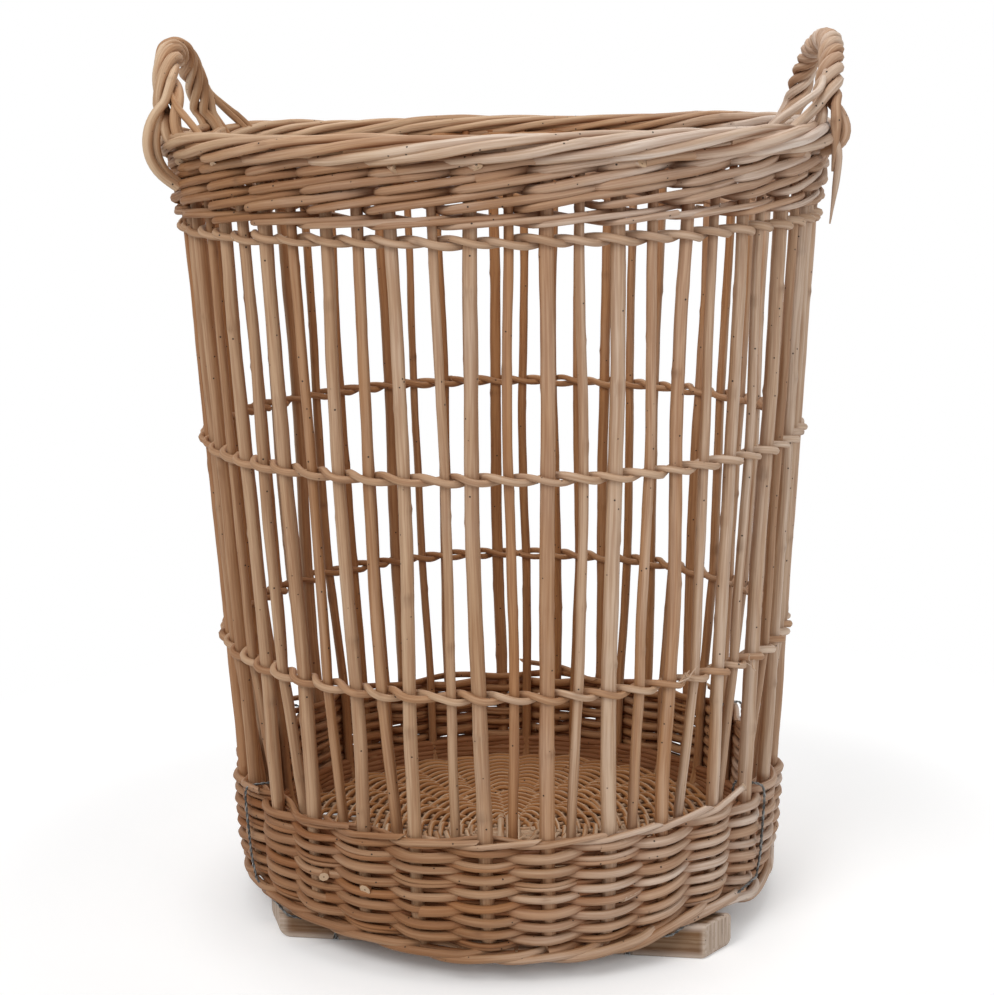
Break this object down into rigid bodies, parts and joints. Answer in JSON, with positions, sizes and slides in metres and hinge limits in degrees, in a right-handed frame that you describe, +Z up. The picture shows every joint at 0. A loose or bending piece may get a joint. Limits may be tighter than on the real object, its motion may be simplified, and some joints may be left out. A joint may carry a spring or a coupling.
{
  "type": "round baguette basket",
  "caption": "Tall round willow basket: open cage of stakes between a woven foot band and a waled top, rolled border, two twisted handles and two wooden runners tied on with wire.",
  "frame": {"origin": "on the floor under the runners, on the basket's middle axis", "axes": "+Z up, +X towards the right handle, -Y towards the front"},
  "size_m": [0.5236, 0.5222, 0.6831],
  "materials": {
    "stake": "dry unpeeled willow rod, grey-brown, satin",
    "weaver": "dry willow weaver, light brown, satin",
    "border": "weathered pinkish grey willow, matt",
    "base": "warm brown willow, matt",
    "runner": "weathered sawn hardwood, matt",
    "wire": "dull grey twisted tie wire"
  },
  "bodies": {
    "root": {"stake_pair_1": "stake", "stake_pair_2": "stake", "stake_pair_3": "stake", "stake_pair_4": "stake", "stake_pair_5": "stake", "stake_pair_6": "stake", "stake_pair_7": "stake", "stake_pair_8": "stake", "stake_pair_9": "stake", "stake_pair_10": "stake", "stake_pair_11": "stake", "stake_pair_12": "stake", "stake_pair_13": "stake", "stake_pair_14": "stake", "stake_pair_15": "stake", "stake_pair_16": "stake", "stake_pair_17": "stake", "stake_pair_18": "stake", "stake_pair_19": "stake", "stake_pair_20": "stake", "stake_pair_21": "stake", "stake_pair_22": "stake", "stake_pair_23": "stake", "stake_pair_24": "stake", "stake_pair_25": "stake", "stake_pair_26": "stake", "stake_pair_27": "stake", "stake_pair_28": "stake", "stake_pair_29": "stake", "foot_band_rod_1": "weaver", "foot_band_rod_2": "weaver", "foot_band_rod_3": "weaver", "low_fitch_rod_1": "weaver", "low_fitch_rod_2": "weaver", "middle_fitch_rod_1": "weaver", "middle_fitch_rod_2": "weaver", "top_fitch_rod_1": "weaver", "top_fitch_rod_2": "weaver", "wale_rod_1": "border", "wale_rod_2": "border", "rolled_border": "border", "left_handle_rod_1": "border", "left_handle_rod_2": "border", "left_handle_rod_3": "border", "right_handle_rod_1": "border", "right_handle_rod_2": "border", "right_handle_rod_3": "border", "left_handle_brace": "border", "right_handle_brace": "border", "right_handle_loose_end": "border", "base_sticks": "base", "base_floor": "base", "front_runner": "runner", "back_runner": "runner", "front_left_tie": "wire", "front_right_tie": "wire", "back_right_tie": "wire", "back_left_tie": "wire"}
  },
  "joints": []
}
